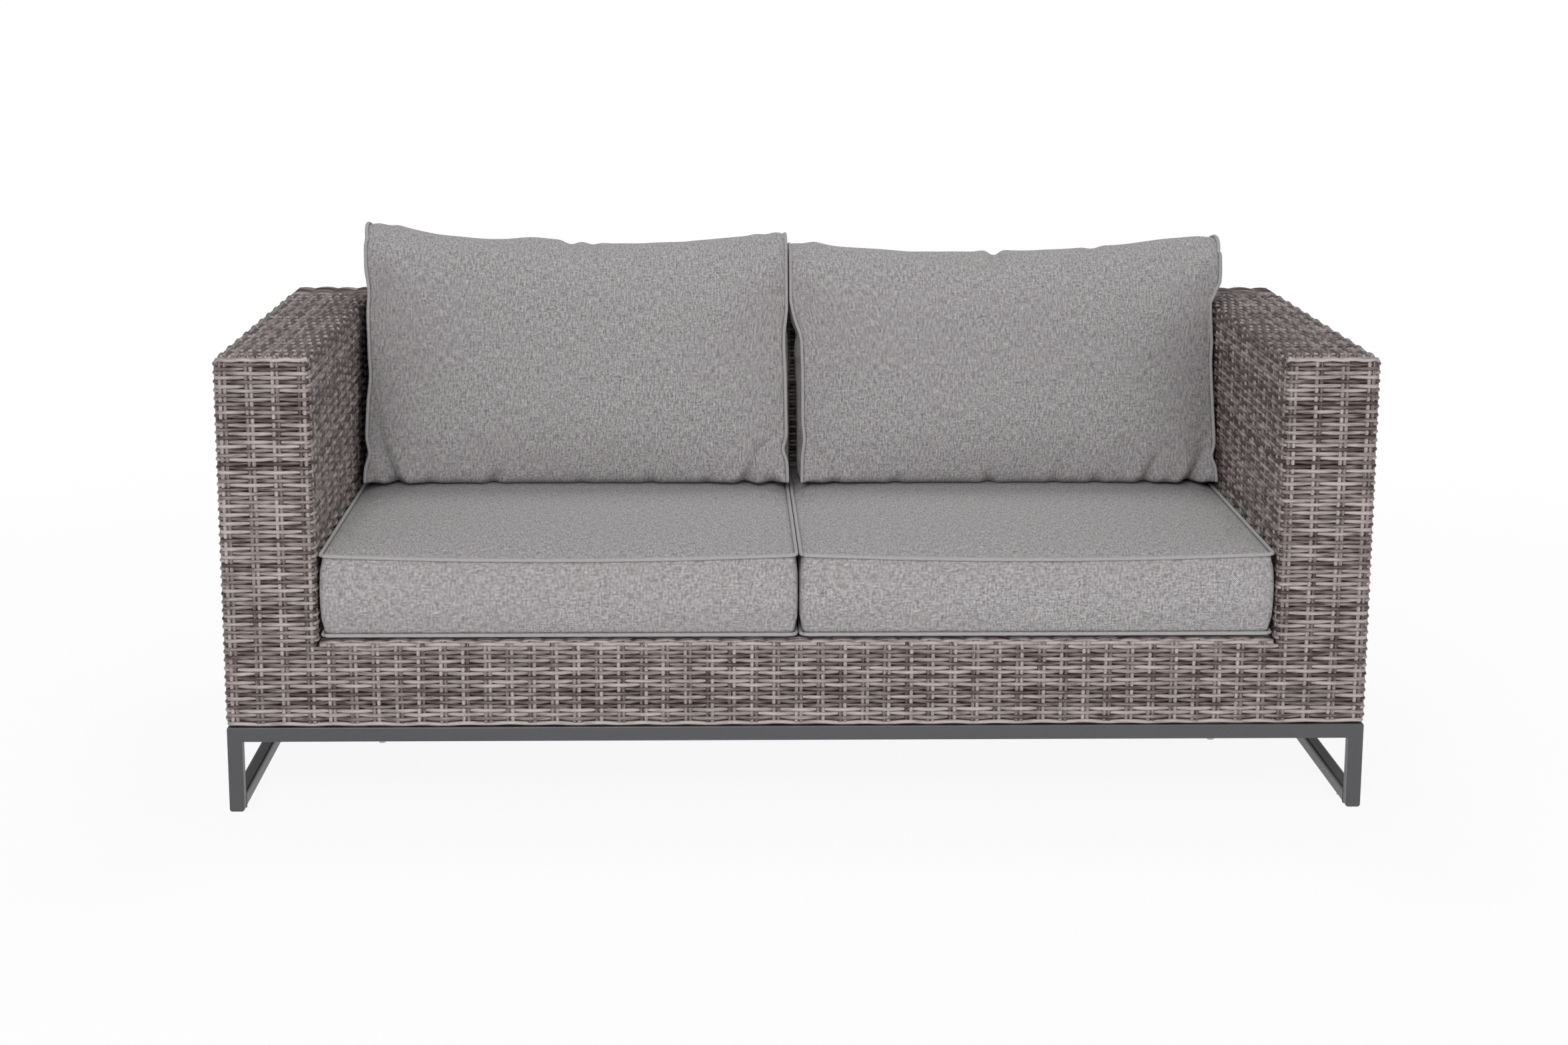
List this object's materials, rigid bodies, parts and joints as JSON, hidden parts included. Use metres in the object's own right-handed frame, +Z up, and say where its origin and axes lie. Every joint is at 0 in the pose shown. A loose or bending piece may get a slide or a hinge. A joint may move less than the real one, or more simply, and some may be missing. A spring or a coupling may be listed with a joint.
{
  "type": "rattan garden sofa",
  "caption": "Low garden sofa with box arms and a straight back in woven strand, on a slim square-tube sled base, with loose piped seat cushions and leaning back cushions.",
  "frame": {"origin": "on the floor, under the middle of the sofa's box", "axes": "+X to the sitter's left as seen from the front (the picture's right), +Y to the rear, +Z up; the front faces -Y"},
  "size_m": [1.7, 0.843, 0.8056],
  "materials": {
    "base_metal": "satin",
    "frame_aluminium": "satin",
    "woven_strand": "satin",
    "black_plastic": "matte",
    "zinc": "satin",
    "cushion_cloth": "matte",
    "cushion_foam": "matte",
    "zip_tape": "matte"
  },
  "bodies": {
    "sofa": {"base_front_leg_frame": "base_metal", "base_rear_leg_frame": "base_metal", "base_runner_left": "base_metal", "base_runner_right": "base_metal", "base_stretcher": "base_metal", "glide_front_left": "black_plastic", "base_pad_front_left": "black_plastic", "base_bolt_front_left": "zinc", "glide_front_right": "black_plastic", "base_pad_front_right": "black_plastic", "base_bolt_front_right": "zinc", "glide_rear_left": "black_plastic", "base_pad_rear_left": "black_plastic", "base_bolt_rear_left": "zinc", "glide_rear_right": "black_plastic", "base_pad_rear_right": "black_plastic", "base_bolt_rear_right": "zinc", "frame_arm_left_outer": "frame_aluminium", "frame_arm_left_inner": "frame_aluminium", "frame_arm_left_tie_front": "frame_aluminium", "frame_arm_left_tie_rear": "frame_aluminium", "frame_arm_right_outer": "frame_aluminium", "frame_arm_right_inner": "frame_aluminium", "frame_arm_right_tie_front": "frame_aluminium", "frame_arm_right_tie_rear": "frame_aluminium", "frame_back_front": "frame_aluminium", "frame_back_rear": "frame_aluminium", "frame_back_tie_left": "frame_aluminium", "frame_back_tie_right": "frame_aluminium", "frame_apron": "frame_aluminium", "frame_seat_side_left": "frame_aluminium", "frame_seat_side_right": "frame_aluminium", "frame_seat_cross_1": "frame_aluminium", "frame_seat_cross_2": "frame_aluminium", "frame_seat_cross_3": "frame_aluminium", "frame_seat_cross_4": "frame_aluminium", "woven_arm_left": "woven_strand", "woven_arm_right": "woven_strand", "woven_back": "woven_strand", "woven_apron": "woven_strand", "woven_deck": "woven_strand"},
    "seat_cushion_left": {"seat_cushion_left_cover": "cushion_cloth", "seat_cushion_left_core": "cushion_foam", "seat_cushion_left_zip": "zip_tape"},
    "seat_cushion_left_zip_slider": {"seat_cushion_left_zip_slider": "zinc"},
    "back_cushion_left": {"back_cushion_left_cover": "cushion_cloth", "back_cushion_left_core": "cushion_foam", "back_cushion_left_zip": "zip_tape"},
    "back_cushion_left_zip_slider": {"back_cushion_left_zip_slider": "zinc"},
    "seat_cushion_right": {"seat_cushion_right_cover": "cushion_cloth", "seat_cushion_right_core": "cushion_foam", "seat_cushion_right_zip": "zip_tape"},
    "seat_cushion_right_zip_slider": {"seat_cushion_right_zip_slider": "zinc"},
    "back_cushion_right": {"back_cushion_right_cover": "cushion_cloth", "back_cushion_right_core": "cushion_foam", "back_cushion_right_zip": "zip_tape"},
    "back_cushion_right_zip_slider": {"back_cushion_right_zip_slider": "zinc"}
  },
  "joints": [
    {"name": "seat_cushion_left_lift", "type": "slide", "parent": "sofa", "child": "seat_cushion_left", "axis": [0, 0, 1], "range_m": [0, 0.44]},
    {"name": "seat_cushion_left_zip_run", "type": "slide", "parent": "seat_cushion_left", "child": "seat_cushion_left_zip_slider", "axis": [1, 0, 0], "range_m": [0, 0.5369]},
    {"name": "back_cushion_left_lift", "type": "slide", "parent": "seat_cushion_left", "child": "back_cushion_left", "axis": [0, 0, 1], "range_m": [0, 0.31]},
    {"name": "back_cushion_left_zip_run", "type": "slide", "parent": "back_cushion_left", "child": "back_cushion_left_zip_slider", "axis": [1, 0, 0], "range_m": [0, 0.4969]},
    {"name": "seat_cushion_right_lift", "type": "slide", "parent": "sofa", "child": "seat_cushion_right", "axis": [0, 0, 1], "range_m": [0, 0.44]},
    {"name": "seat_cushion_right_zip_run", "type": "slide", "parent": "seat_cushion_right", "child": "seat_cushion_right_zip_slider", "axis": [-1, 0, 0], "range_m": [0, 0.5369]},
    {"name": "back_cushion_right_lift", "type": "slide", "parent": "seat_cushion_right", "child": "back_cushion_right", "axis": [0, 0, 1], "range_m": [0, 0.31]},
    {"name": "back_cushion_right_zip_run", "type": "slide", "parent": "back_cushion_right", "child": "back_cushion_right_zip_slider", "axis": [-1, 0, 0], "range_m": [0, 0.4969]}
  ]
}
